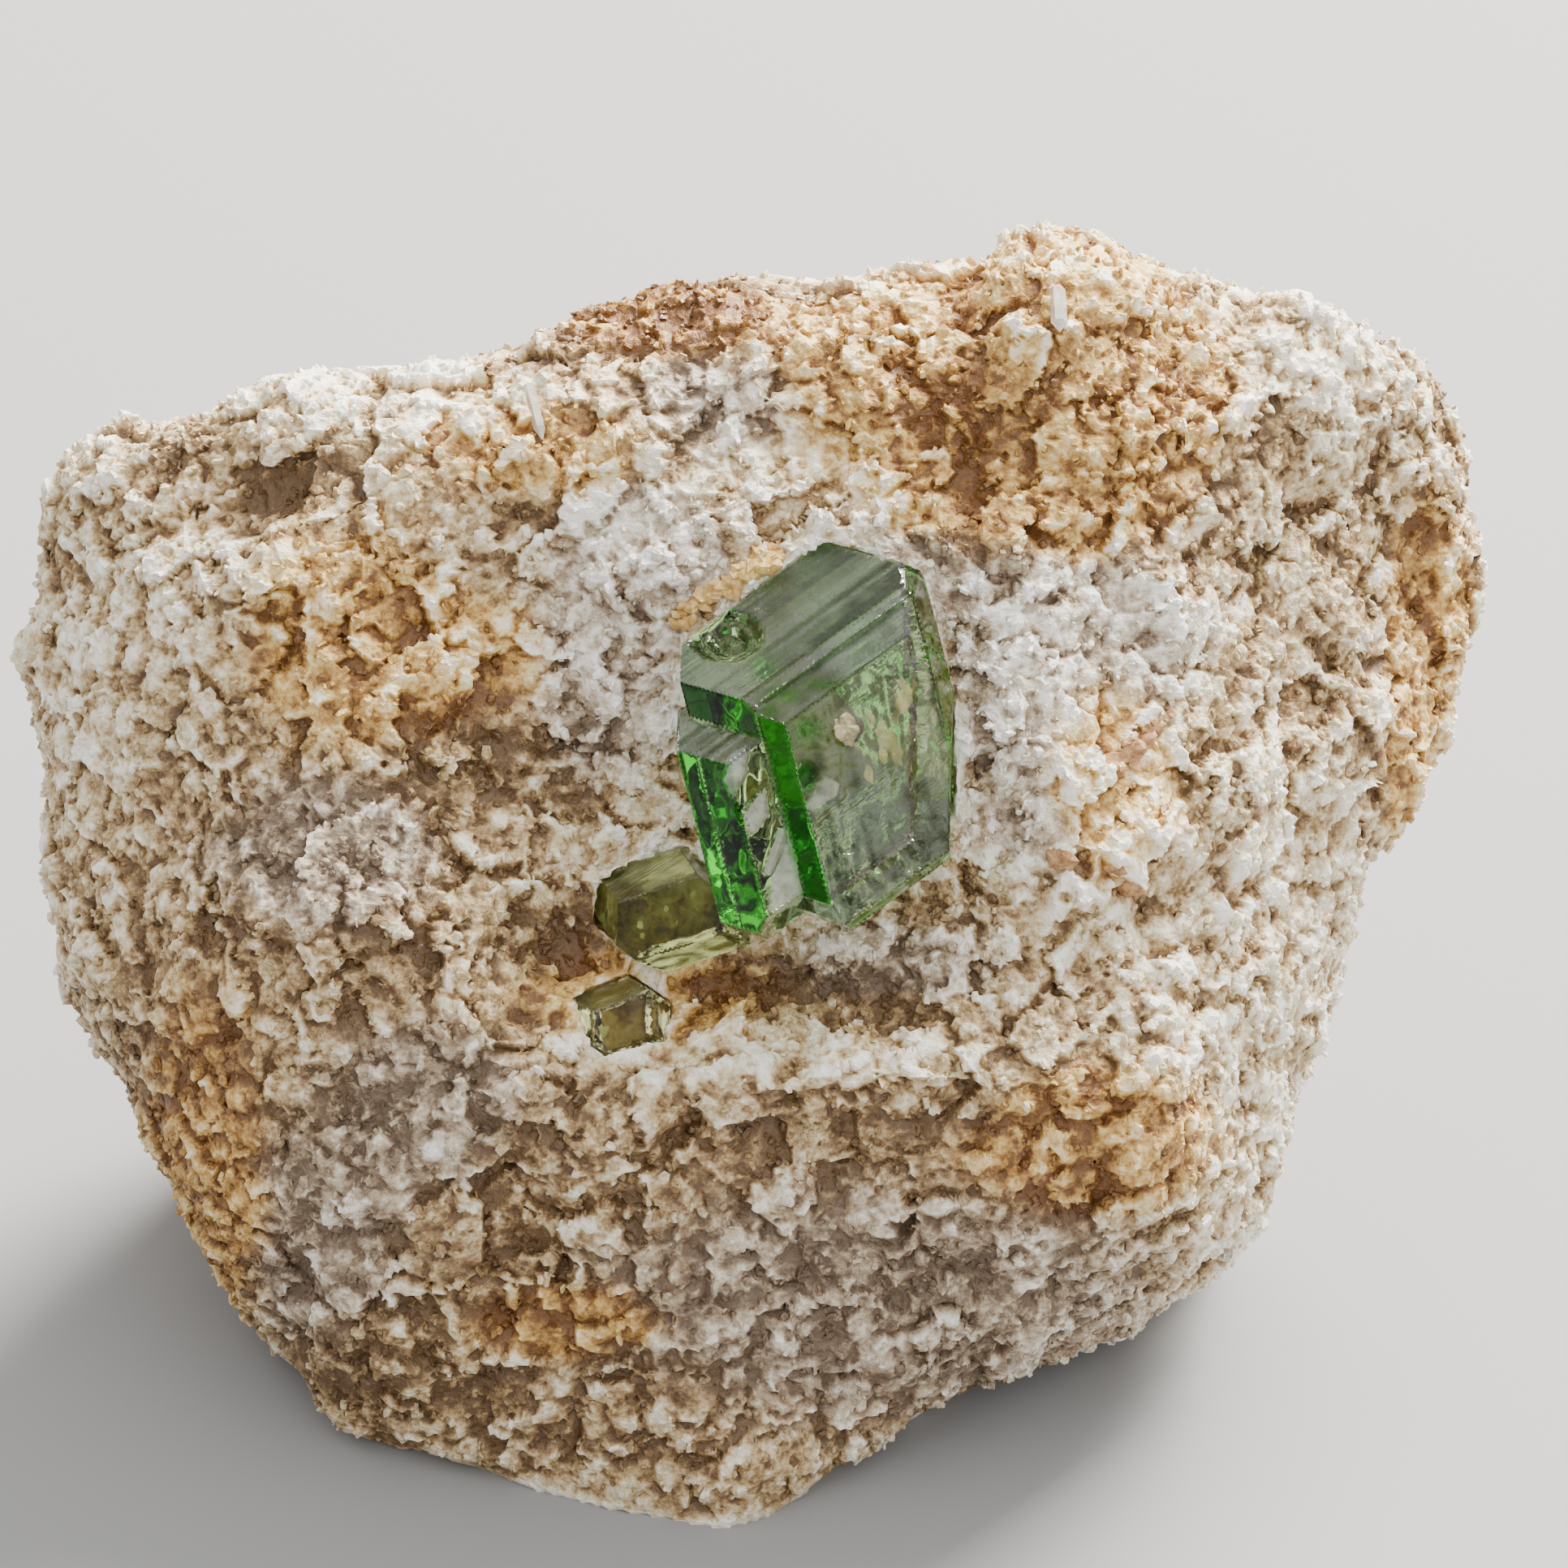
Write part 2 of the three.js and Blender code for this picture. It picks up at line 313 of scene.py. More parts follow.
print("points drawn in:", int((gap < SNUG_REACH).sum()))

# %% Rock: how thick it is under each point, which limits how deep a pit may go
solid = tree_of(rock)
thickness = np.full(len(skin), THICKEST)
for i, vertex in enumerate(rock.data.vertices):
    inward = -vertex.normal
    hit = solid.ray_cast(vertex.co + inward * 0.02 * MM, inward)[3]
    thickness[i] = hit or THICKEST
store(rock.data, "thickness", thickness / MM)
print("rock skin:", triangle_count(rock), "triangles, thinnest", round(thickness.min() / MM, 2), "mm")

# %% [markdown]
# Sugary rock is a crowd of crystal grains that broke along flat little faces. Each cell of a Voronoi pattern
# gets its own tilt, which makes such facets at three sizes, and noise adds lumps and pits. A geometry tree
# does it, because the same rule runs over the whole skin. The noise and the cells that give the rock its
# tones are kept on the mesh as numbers, because the material can read those quickly. Then the skin is thinned
# to a set number of triangles, and how deep each point lies among its neighbours is measured.

# %% Rock: broken relief
# Heights and depths are in millimetres.
RELIEF = {
    "Lump Height": 0.65, "Ledge Height": 0.4, "Knob Tilt": 0.34, "Grain Tilt": 0.42, "Grit Height": 0.06,
    "Pit Depth": 0.9,
}
relief, given, close = geometry_tree("broken_relief", dict.fromkeys(RELIEF, "Float"))


def number(tree, name):
    """A number stored on the mesh, in a geometry tree."""
    return add(tree, "GeometryNodeInputNamedAttribute", {"Name": name}).outputs[0]


in_mm = scaled(relief, add(relief, "GeometryNodeInputPosition").outputs[0], 1 / MM)


def tree_noise(tree, where, size, detail, roughness=0.6):
    """Noise of a given lump size, from -1 to 1."""
    inputs = {"Vector": where, "Scale": 1 / size, "Detail": detail, "Roughness": roughness}
    made = add(tree, "ShaderNodeTexNoise", inputs).outputs[0]
    return calc(tree, "MULTIPLY_ADD", made, 2.0, -1.0)


def facets(tree, where, size, tilt):
    """Height of a crowd of cells, each a flat face with its own tilt."""
    cell = add(tree, "ShaderNodeTexVoronoi", {"Vector": where, "Scale": 1 / size})
    offset = vector_calc(tree, "SUBTRACT", where, cell.outputs["Position"])
    random = vector_calc(tree, "SUBTRACT", cell.outputs["Color"], (0.5, 0.5, 0.5))
    slope = vector_calc(tree, "DOT_PRODUCT", offset, random)
    dome = calc(tree, "MULTIPLY", cell.outputs["Distance"], -0.35 * size)
    return calc(tree, "MULTIPLY", calc(tree, "ADD", slope, dome), tilt)


warp = add(relief, "ShaderNodeTexNoise", {"Vector": in_mm, "Scale": 0.55, "Detail": 3.0}).outputs["Color"]
warped = vector_calc(relief, "ADD", in_mm, vector_calc(relief, "MULTIPLY", warp, (1.6, 1.6, 1.6)))
turned = add(relief, "ShaderNodeVectorRotate", {"Vector": warped, "Axis": (0, 1, 0), "Angle": 0.5}).outputs[0]
along_ledge = vector_calc(relief, "MULTIPLY", turned, (0.3, 1, 1))
lumps = calc(relief, "MULTIPLY", tree_noise(relief, in_mm, 3.6, 7.0, 0.62), given["Lump Height"])
ledges = calc(relief, "ABSOLUTE", tree_noise(relief, along_ledge, 2.4, 3.0))
ledges = calc(relief, "MULTIPLY", ledges, given["Ledge Height"])
knobs = facets(relief, warped, 2.1, given["Knob Tilt"])
grains = facets(relief, warped, 0.8, given["Grain Tilt"])
grit = calc(relief, "MULTIPLY", tree_noise(relief, in_mm, 0.34, 2.0), given["Grit Height"])
hollow = calc(relief, "SUBTRACT", tree_noise(relief, warped, 2.2, 3.0), 0.2, clamp=True)
pits = calc(relief, "MULTIPLY", calc(relief, "SMOOTH_MIN", hollow, 0.3, 0.1), given["Pit Depth"])
height = calc(relief, "SUBTRACT", calc(relief, "ADD", lumps, ledges), pits)
height = calc(relief, "ADD", height, calc(relief, "ADD", knobs, calc(relief, "ADD", grains, grit)))
deepest = calc(relief, "MULTIPLY", number(relief, "thickness"), -0.2)
height = calc(relief, "MAXIMUM", height, deepest)
moved = calc(relief, "MULTIPLY", calc(relief, "MULTIPLY", height, number(relief, "free")), MM)
offset = scaled(relief, add(relief, "GeometryNodeInputNormal").outputs[0], moved)
cells = add(relief, "ShaderNodeTexVoronoi", {"Vector": in_mm, "Scale": 1.5}).outputs["Color"]
tone_numbers = {
    "broad": tree_noise(relief, in_mm, 1.9, 5.0, 0.65),
    "frost": tree_noise(relief, in_mm, 0.6, 3.0, 0.75),
    "cell": add(relief, "FunctionNodeSeparateColor", {0: cells}).outputs[0],
}
kept = given["Geometry"]
for name, value in tone_numbers.items():
    inputs = {"Geometry": kept, "Name": name, "Value": value}
    kept = add(relief, "GeometryNodeStoreNamedAttribute", inputs).outputs[0]
shaped = add(relief, "GeometryNodeSetPosition", {"Geometry": kept, "Offset": offset})
close(shaped.outputs[0])
run_nodes(rock, relief, RELIEF)
print("rock relief:", triangle_count(rock), "triangles")

# %% Rock: as many triangles as two pieces may have
ROCK_TRIANGLES = 380000
fewer = rock.modifiers.new("fewer", "DECIMATE")
fewer.ratio = min(1.0, ROCK_TRIANGLES / triangle_count(rock))
run_modifier(rock, fewer)
print("crumbs taken away:", keep_largest(rock))
settled = points_of(rock.data)
settled[:, 2] = np.maximum(settled[:, 2], 0)
move_points(rock.data, settled)
print("rock kept:", triangle_count(rock), "triangles")

# %% Rock: how deep each point lies among its neighbours
edges = np.empty(len(rock.data.edges) * 2, np.int32)
rock.data.edges.foreach_get("vertices", edges)
ends = np.concatenate([edges.reshape(-1, 2), edges.reshape(-1, 2)[:, ::-1]])
normals = np.array([v.normal for v in rock.data.vertices])
counts = np.bincount(ends[:, 0], minlength=len(settled))
smooth = settled
sunk = np.zeros(len(settled))
for step in range(1, 25):
    sums = [np.bincount(ends[:, 0], smooth[ends[:, 1], axis], len(settled)) for axis in range(3)]
    smooth = np.stack(sums, axis=1) / counts[:, None]
    if step in (3, 24):
        below = np.einsum("ij,ij->i", smooth - settled, normals)
        sunk += below / np.percentile(np.abs(below), 90)
# The material darkens points that lie deep with this number: painted shade in the hollows.
store(rock.data, "sunk", np.clip(sunk / 2, -1, 1))
print("depth among neighbours:", np.percentile(sunk / 2, [5, 50, 95]).round(2))

# %% [markdown]
# Stains on the rock follow where iron oxide and white powder settled. Not every patch is a stain: the shade
# patches are painted shade, mostly on the lower wall and on faces turned away, and some brown, lilac and
# white patches are partly painted shade or a painted highlight. Each patch is named by its kind and its place
# on the face. The patches are stored as weights on the mesh, and the material frays their edges with noise,
# so no picture is needed.

# %% Rock: stained patches and patches of painted shade
PATCHES = {
    "amber": [
        (7.6, 14.2, 5.6, 3.4), (-6.8, 13.2, 3.2, 1.5), (-12.6, 7.4, 3.2, 3.6), (10.9, -7.4, 2.6, 1.6),
        (21, 9, 1.5, 3), (9, 17.8, 3, 2), (-3.6, -3.4, 4, 1.6), (11, 3, 2, 3),
        (-17, -9, 2, 6), (-9, 6.8, 2.6, 1.6), (20.6, 3, 1.2, 3.4), (-6, -13.5, 3, 1.2),
        (4.5, 15.8, 2.6, 2), (8, 12.9, 3.2, 2.2), (10.5, 12, 2, 1.6), (11.5, 15.6, 2.6, 2.4),
        (-2.8, 17.2, 3.4, 1.3), (10, -8.4, 3.6, 1.8),
    ],
    # Brown: iron stain, and partly painted shade where a patch lies in a hollow beside or under the crystal.
    "brown": [
        (-3.2, 17.2, 3, 1.2), (6.2, 14.4, 3, 1.6), (-6.3, 3.2, 2.4, 1.9), (-17.5, 13.1, 1, 0.9),
        (-13.9, 12.2, 1.1, 1), (1.7, -3, 3.6, 0.8), (-6.2, -1.6, 1.6, 1), (-12.2, -15, 2.4, 1.2),
        (-8.6, 4.6, 3.2, 1.2), (7.6, 10.6, 2.4, 1.4), (6.1, 12.9, 1.8, 1), (-3.6, 17.6, 3.4, 1.3),
    ],
    # White: white powder; the long flat patch along the ledge under the crystal is partly a painted highlight
    # on its lit top.
    "white": [
        (1.4, 5.4, 6.4, 6), (17.4, 16.3, 3.6, 1.8), (-10.9, 14.9, 4.6, 1.3), (14.8, -7.6, 1.2, 4.4),
        (-4.6, 10.9, 1, 1.3), (-17.6, 9.6, 2.6, 1.5), (11.4, 6.4, 3, 3.4), (-2, -5.2, 6.5, 0.9),
        (11.6, -1.6, 2.4, 3), (17, -1, 2, 5), (-20.5, 6, 1.4, 3), (-4.6, 7, 2.4, 3.6),
        (8.2, 5, 2.4, 4.6), (1.8, 12.2, 4, 1.3), (-4.4, 1.6, 1.4, 1.6),
    ],
    # Lilac grey: grey-lilac grains, and painted shade between the white grains round the crystal.
    "lilac": [
        (4.9, 11.7, 2.2, 1.2), (-1, 15, 2.4, 1.8), (-13.2, 0.9, 3.4, 2.4), (10.2, 7.4, 3.4, 3),
        (-10, -6.6, 3, 2.2), (4, -13, 9, 3.6), (-14, -11, 3, 3), (-4.5, 6.5, 2.4, 3.4),
        (8.6, 4.4, 2.2, 4.4), (-3, 10.2, 2.4, 1.8), (5.5, 9.6, 2, 1.4), (4, -2.4, 3, 1.2),
    ],
    "shade": [
        (-12, -12, 8, 6), (2, -14, 10, 5), (-15, -4, 5, 4), (0, -9, 9, 2),
        (-12.5, 1, 3.5, 2.5), (9, -8, 4, 2), (-3.4, 17.4, 3.6, 1.4), (-14, -9, 6, 5),
    ],
}
across, up, _ = face_places(points_of(rock.data))
for kind, patches in PATCHES.items():
    weight = np.zeros(len(across))
    for middle, level, wide, tall in patches:
        weight += np.exp(-(((across - middle) / wide) ** 2) - ((up - level) / tall) ** 2)
    # Painted shade: faces turned away from the crystal face get the shade weight too, so they come out
    # darker.
    if kind == "shade":
        weight += np.interp(facing(rock.data), [-0.6, -0.1], [0.9, 0])
    store(rock.data, kind, np.clip(1.25 * weight, 0, 1))
    print(kind, "covers", round(float((weight > 0.5).mean()), 3), "of the skin")

# %% [markdown]
# The rock's colour comes from its grains: each one is white, cream, honey or greige. A Voronoi pattern gives
# every grain its own tone, the patch weights push the tones towards amber, brown, white or lilac grey, the
# shade weight darkens them as painted shade, deep places are darkened towards brown as painted shade in the
# hollows, and very fine white flecks lie over everything like frost.

# %% Rock: material


def shader(name):
    """A new material with its node tree and its surface node."""
    material = bpy.data.materials.new(name)
    material.use_nodes = True
    return material, material.node_tree, material.node_tree.nodes["Principled BSDF"]


def shaded_place(tree):
    """The place on a piece that a material is asked about, in millimetres."""
    where = add(tree, "ShaderNodeTexCoord").outputs["Object"]
    return vector_calc(tree, "MULTIPLY", where, (1000, 1000, 1000))


def bumped(tree, strength, distance, height):
    """A surface normal roughened by a height, with the distance in millimetres."""
    inputs = {"Strength": strength, "Distance": distance * MM, "Height": height}
    return add(tree, "ShaderNodeBump", inputs).outputs[0]


def mix(tree, share, first, second):
    """Two colours mixed."""
    ends = [c if isinstance(c, bpy.types.NodeSocket) else (*c, 1) for c in (first, second)]
    return add(tree, "ShaderNodeMix", {0: share, 6: ends[0], 7: ends[1]}, data_type="RGBA").outputs[2]


def between(tree, value, low, high):
    """0 where the value is below low, 1 above high, and smooth between them."""
    inputs = {"Value": value, "From Min": low, "From Max": high}
    return add(tree, "ShaderNodeMapRange", inputs, interpolation_type="SMOOTHSTEP").outputs[0]


def tones(tree, value, stops):
    """A row of colours, picked by a value from 0 to 1."""
    ramp = add(tree, "ShaderNodeValToRGB", {0: value})
    while len(ramp.color_ramp.elements) < len(stops):
        ramp.color_ramp.elements.new(0.5)
    for element, (at, colour) in zip(ramp.color_ramp.elements, stops):
        element.position = at
        element.color = (*colour, 1)
    return ramp.outputs[0]


def weight_of(tree, name):
    """A number stored on the mesh."""
    return add(tree, "ShaderNodeAttribute", {}, attribute_name=name).outputs["Fac"]


def rock_material(name, cell, roughness):
    """Sugary rock, with the number on the mesh that gives each grain or cell its own tone."""
    material, tree, surface = shader(name)
    in_mm = shaded_place(tree)
    broad = weight_of(tree, "broad")
    frost = weight_of(tree, "frost")
    fine = tree_noise(tree, in_mm, 0.15, 2.0, 0.7)
    share = {}
    ragged = calc(tree, "MULTIPLY_ADD", broad, 0.5, calc(tree, "MULTIPLY", frost, 0.25))
    for kind in PATCHES:
        share[kind] = between(tree, calc(tree, "ADD", weight_of(tree, kind), ragged), 0.2, 0.8)
    tone = calc(tree, "MULTIPLY_ADD", weight_of(tree, cell), 0.2, 0.25)
    # Painted shade: the sunk number darkens the hollows, and the shade share darkens the lower wall and the
    # back.
    for value, strength in (
        (broad, 0.5), (frost, 0.56), (fine, 0.24), (weight_of(tree, "sunk"), -0.4),
        (share["white"], 0.16), (share["amber"], -0.03), (share["brown"], -0.22), (share["shade"], -0.17),
    ):
        tone = calc(tree, "MULTIPLY_ADD", value, strength, tone)
    tone = calc(tree, "MULTIPLY_ADD", fine, 0.1, calc(tree, "SMOOTH_MAX", tone, 0.06, 0.12))
    colour = tones(tree, tone, [
        (0.05, (0.12, 0.065, 0.026)), (0.24, (0.32, 0.2, 0.085)), (0.38, (0.5, 0.365, 0.19)),
        (0.52, (0.65, 0.55, 0.37)), (0.68, (0.82, 0.755, 0.61)), (0.9, (0.95, 0.92, 0.86)),
    ])
    amber = tones(tree, tone, [
        (0.05, (0.15, 0.06, 0.015)), (0.25, (0.4, 0.21, 0.05)), (0.42, (0.6, 0.38, 0.115)),
        (0.6, (0.78, 0.59, 0.28)), (0.85, (0.94, 0.89, 0.78)),
    ])
    lilac = tones(tree, tone, [
        (0.05, (0.14, 0.1, 0.07)), (0.25, (0.31, 0.25, 0.195)), (0.45, (0.5, 0.44, 0.38)),
        (0.62, (0.73, 0.68, 0.63)), (0.85, (0.94, 0.92, 0.9)),
    ])
    # Lilac grey, partly painted shade between the white grains.
    colour = mix(tree, calc(tree, "MULTIPLY", share["lilac"], 0.6), colour, lilac)
    colour = mix(tree, share["amber"], colour, amber)
    flecks = between(tree, calc(tree, "MULTIPLY_ADD", fine, 0.5, frost), 0.35, 0.62)
    flecks = calc(tree, "MULTIPLY", flecks, calc(tree, "MULTIPLY_ADD", share["amber"], -0.25, 0.6))
    colour = mix(tree, flecks, colour, (0.94, 0.91, 0.85))
    fill(tree, surface, {
        "Base Color": colour, "Roughness": calc(tree, "MULTIPLY_ADD", fine, 0.2, roughness),
        "Normal": bumped(tree, 0.7, 0.05, fine),
    })
    return material


rock.data.materials.clear()
rock.data.materials.append(rock_material("sugary rock", "cell", 0.5))
print("rock material made")

# %% [markdown]
# Loose grains sit on the skin: clear to honey coloured ones up to half a millimetre wide, and small white
# flakes. They could be placed by hand, but there are thousands. A geometry tree scatters them, turns and
# sizes each one by chance from a fixed seed, sinks it half into the rock and breaks its shape, so that the
# edge of the lump looks sugary too. Near the main crystal they lie closest.

# %% Grains: the scatter tree
scatter, given, close = geometry_tree(
    "scatter_grains",
    {
        "Density": "Float", "Smallest": "Vector", "Largest": "Vector", "Break": "Float", "Seed": "Int",
        "Round": "Bool", "Material": "Material",
    },
)
crowded = calc(scatter, "MULTIPLY", given["Density"], number(scatter, "crowd"))
strewn = add(
    scatter, "GeometryNodeDistributePointsOnFaces",
    {"Mesh": given["Geometry"], "Density": crowded, "Seed": given["Seed"]},
)
ball = add(scatter, "GeometryNodeMeshIcoSphere", {"Radius": 0.5, "Subdivisions": 1})
block = add(scatter, "GeometryNodeMeshCube", {"Size": (1, 1, 1)})
form = add(
    scatter, "GeometryNodeSwitch",
    {"Switch": given["Round"], "False": block.outputs["Mesh"], "True": ball.outputs["Mesh"]},
    input_type="GEOMETRY",
)


def random(tree, kind, low, high, seed):
    """A random value for each point."""
    node = add(tree, "FunctionNodeRandomValue", {"Seed": seed}, data_type=kind)
    ends = [i for i, s in enumerate(node.inputs) if s.enabled and s.name in ("Min", "Max")]
    fill(tree, node, dict(zip(ends, (low, high))))
    return next(s for s in node.outputs if s.enabled)


tone = random(scatter, "FLOAT", 0.0, 1.0, 11)
toned = add(
    scatter, "GeometryNodeStoreNamedAttribute",
    {"Geometry": strewn.outputs["Points"], "Name": "tone", "Value": tone},
)
turn = random(scatter, "FLOAT_VECTOR", (0, 0, 0), (6.28, 6.28, 6.28), 12)
size = random(scatter, "FLOAT_VECTOR", given["Smallest"], given["Largest"], 13)
placed = add(
    scatter, "GeometryNodeInstanceOnPoints",
    {"Points": toned.outputs[0], "Instance": form.outputs[0], "Rotation": turn, "Scale": size},
)
real = add(scatter, "GeometryNodeRealizeInstances", {"Geometry": placed.outputs[0]})
spot = add(scatter, "GeometryNodeInputPosition").outputs[0]
jag = add(scatter, "ShaderNodeTexNoise", {"Vector": spot, "Scale": 2600.0, "Detail": 1.0}).outputs["Color"]
jag = scaled(scatter, vector_calc(scatter, "SUBTRACT", jag, (0.5, 0.5, 0.5)), given["Break"])
broken = add(scatter, "GeometryNodeSetPosition", {"Geometry": real.outputs[0], "Offset": jag})
coloured = add(
    scatter, "GeometryNodeSetMaterial",
    {"Geometry": broken.outputs[0], "Material": given["Material"]},
)
close(coloured.outputs[0])
print("scatter tree:", len(scatter.nodes), "nodes")

# %% Grains: two crusts on the rock
rock_points = points_of(rock.data)
gap = np.full(len(rock_points), 10 * MM)
for i in np.nonzero((np.abs(across - 1) < 12) & (np.abs(up - 3) < 12))[0]:
    gap[i] = nearest_crystal(Vector(rock_points[i]))[1]
off_crystals = np.interp(gap, [0.08 * MM, 0.35 * MM], [0, 1])
raised = rock_points[:, 2] > 0.7 * MM
halo = np.interp(np.hypot((across - 1.6) / 8, (up - 4) / 8.5), [0.6, 1.1], [2.4, 0.95])
front = np.interp(facing(rock.data), [-0.5, 0.3], [0.4, 1.0])
store(rock.data, "crowd", off_crystals * raised * halo * front)
# Densities are grains per square metre, sizes and breaks are in millimetres.
CRUSTS = {
    "honey_grains": {
        "Density": 1.5e6, "Smallest": (0.12, 0.12, 0.12), "Largest": (0.6, 0.5, 0.45), "Break": 0.2,
        "Seed": 4, "Round": True,
    },
    "frost_flakes": {
        "Density": 4.2e6, "Smallest": (0.06, 0.05, 0.03), "Largest": (0.34, 0.24, 0.14), "Break": 0.1,
        "Seed": 9, "Round": False,
    },
}
grain_material = rock_material("sugar grains", "tone", 0.28)
crusts = []
for name, settings in CRUSTS.items():
    crust = new_object(name, rock.data.copy())
    sizes = {key: tuple(v * MM for v in settings[key]) for key in ("Smallest", "Largest")}
    settings = {**settings, **sizes, "Break": settings["Break"] * MM, "Material": grain_material}
    run_nodes(crust, scatter, settings)
    crusts.append(crust)
    print(name, triangle_count(crust), "triangles")

# %% [markdown]
# Garnet grows as a dodecahedron. The CAD crystals have its flat faces; the fine copies are cut by many level
# planes into small faces, so that sharp edges stay sharp and the flat parts can take striations, chips and
# etched dimples as real relief.

# %% Crystals: fine copies
CRYSTAL_TURN = FACE_TURN @ (
    Matrix.Rotation(math.radians(133), 3, "X")
    @ Matrix.Rotation(math.radians(-2), 3, "Y")
    @ Matrix.Rotation(math.radians(64), 3, "Z")
)
CRYSTAL_MIDDLE = on_face(1.6, 4.32, 7.6)


def fine_copy(node, step):
    """A CAD crystal cut into small faces along three crossed sets of planes."""
    work = copy_of(node)
    bmesh.ops.dissolve_limit(work, angle_limit=0.01, verts=work.verts, edges=work.edges)
    low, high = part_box(node)
    middle = (low + high) / 2
    reach = (high - low).length / 2
    for axis in range(3):
        direction = CRYSTAL_TURN.col[axis].normalized()
        for i in range(int(2 * reach / step)):
            parts = work.verts[:] + work.edges[:] + work.faces[:]
            level = middle + direction * (i * step - reach)
            bmesh.ops.bisect_plane(work, geom=parts, dist=1e-9, plane_co=level, plane_no=direction)
    bmesh.ops.triangulate(work, faces=work.faces)
    return object_of(node + "_fine", work)


STEPS = (0.1 * MM, 0.12 * MM, 0.12 * MM)
fine_crystals = [fine_copy(node, step) for node, step in zip(CRYSTALS, STEPS)]
demantoid, olive, pale = fine_crystals
for crystal in fine_crystals:
    print(crystal.name, triangle_count(crystal), "triangles")

# %% [markdown]
# Growth left fine lines on the roof and on the band below it, all along one zone axis. The window face is
# etched, the lower left crystal is broken into wedges, and there are a few chips and dimples. Each point is
# pushed in along the normals of the faces it lies on, so that edges stay where the CAD solid has them.

# %% Demantoid: its faces, chips and broken facets
ZONE = np.array((1, -1, -1)) / math.sqrt(3)
# Each face by its Miller indices and its distance from the crystal's middle in millimetres.
FACES = {
    "roof": ((1, 1, 0), 3.37), "band": ((2, 1, 1), 3.27), "window": ((1, 0, 1), 3.0),
    "left": ((0, 1, 1), 3.12), "strip": ((1, 1, 2), 3.28), "shelf": ((1, 1, 0), 2.39),
    "wedges": ((1, 0, 1), 2.61), "lower left": ((0, 1, 1), 4.18), "deep window": ((1, 0, 1), 2.5),
    "plate end": ((3, -4, 1), 3.85), "plate right": ((1, -1, 0), 4.25), "plate foot": ((0, -1, 1), 4.94),
}
ON_FACE = 0.004
# Chips and dimples: across, up, radius across, radius up, depth.
BIG_CHIP = (-0.9, 7.5, 1.15, 0.85, 0.5)
DENTS = [
    BIG_CHIP, (1.6, 3.2, 0.34, 0.5, 0.16), (2.1, 2.7, 0.4, 0.5, 0.12), (2.9, 1.0, 0.28, 0.24, 0.1),
    (4.75, 0.6, 0.3, 0.35, 0.14), (0.3, 8.35, 0.3, 0.16, 0.08), (4.6, 3.4, 0.5, 1.2, 0.12),
    (-0.2, 2.4, 0.4, 0.9, 0.14),
]
# Flat broken facets on the lower left crystal and the window, by their corners: across, up.
FACETS = [
    [(0.42, -1.0), (0.5, 0.0), (1.05, 1.54), (1.41, 0.81), (1.5, -0.55)],
    [(0.28, 0.27), (0.78, 1.63), (1.02, 1.56), (0.44, 0.14)],
    [(-0.94, 3.08), (-0.67, 3.8), (-0.17, 4.08), (-0.26, 3.26), (-0.67, 2.49)],
    [(-0.31, 1.99), (0.33, 2.81), (0.4, 1.99), (-0.13, 1.36)],
    [(1.55, 2.35), (2.14, 3.26), (2.59, 2.99), (2.5, 2.58), (1.69, 2.08)],
]
print(len(FACES), "faces,", len(DENTS), "dents,", len(FACETS), "broken facets")

# %% Demantoid: noise, patches and spots


def wave(values, size, seed):
    """Smooth noise along one direction, from -1 to 1."""
    made = np.array([noise.noise(Vector((v / size, seed + 0.37, 0.61))) for v in values])
    return made / np.abs(made).max()


def rough(points, size, seed):
    """Smooth noise in space, from -1 to 1."""
    return np.array([noise.noise(Vector(q) / size + Vector((seed, seed, seed))) for q in points])


def within(across, up, corners):
    """Whether each point lies in a patch with these corners, which go round it clockwise."""
    ends = corners[1:] + corners[:1]
    sides = [(c - a) * (up - b) - (d - b) * (across - a) <= 0 for (a, b), (c, d) in zip(corners, ends)]
    return np.all(sides, axis=0)


def spots(across, up, places):
    """How far inside any of some soft spots each point lies: across, up, radius across, radius up."""
    made = [np.exp(-(((across - x) / w) ** 2) - ((up - z) / h) ** 2) for x, z, w, h in places]
    return np.max(made, axis=0)


places = points_of(demantoid.data)
local = (places - np.array(CRYSTAL_MIDDLE)) @ np.array(CRYSTAL_TURN) / MM
across, up, _ = face_places(places)
normals = {name: np.array(miller) / np.linalg.norm(miller) for name, (miller, _) in FACES.items()}
zones = {
    name: np.abs(local @ normals[name] - distance) < ON_FACE for name, (_, distance) in FACES.items()
}
print("points on each face:", {name: int(chosen.sum()) for name, chosen in zones.items()})

